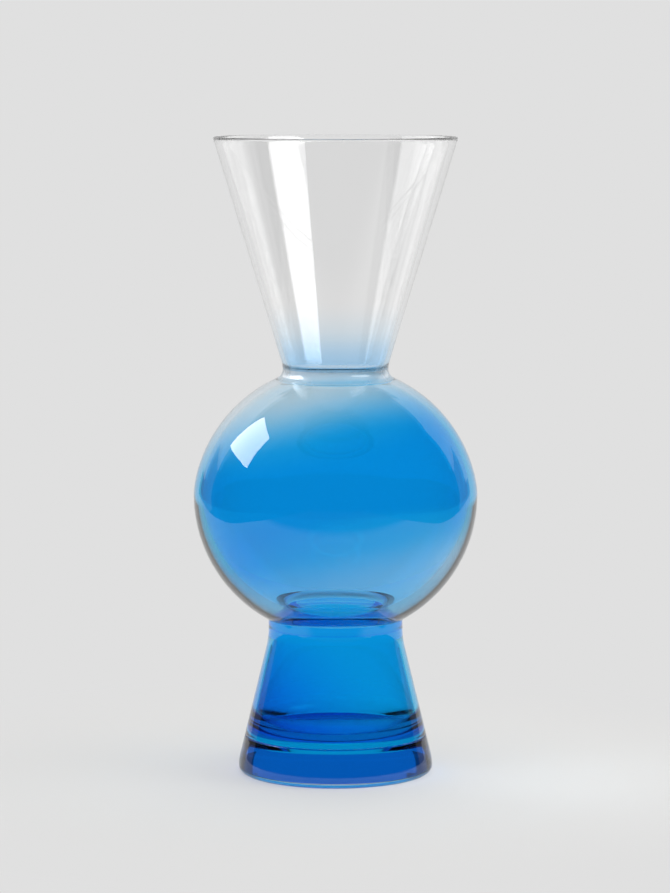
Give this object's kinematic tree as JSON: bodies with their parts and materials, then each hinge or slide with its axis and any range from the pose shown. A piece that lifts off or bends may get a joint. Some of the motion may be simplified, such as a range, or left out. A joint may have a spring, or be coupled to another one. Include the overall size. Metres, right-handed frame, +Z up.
{
  "type": "glass vase",
  "caption": "Tall glass vase: a clear trumpet mouth on a blue-lined globe, on a hollow blue foot with a thick solid slab.",
  "frame": {"origin": "middle of the flat underside that stands on the table", "axes": "+Z up along the axis of the vase, -Y towards the camera of the picture"},
  "size_m": [0.1558, 0.1558, 0.3501],
  "materials": {
    "clear_glass": "fire-polished clear glass",
    "blue_glass": "fire-polished blue glass, paler near the neck",
    "ring_glass": "fire-polished pale blue glass",
    "slab_glass": "solid blue glass with a ground and polished underside"
  },
  "bodies": {
    "root": {"base_slab": "slab_glass", "foot_casing": "clear_glass", "foot_lining": "blue_glass", "waist_ring": "ring_glass", "globe_casing": "clear_glass", "globe_lining": "blue_glass", "neck_ring": "ring_glass", "mouth_funnel": "clear_glass"}
  },
  "joints": []
}
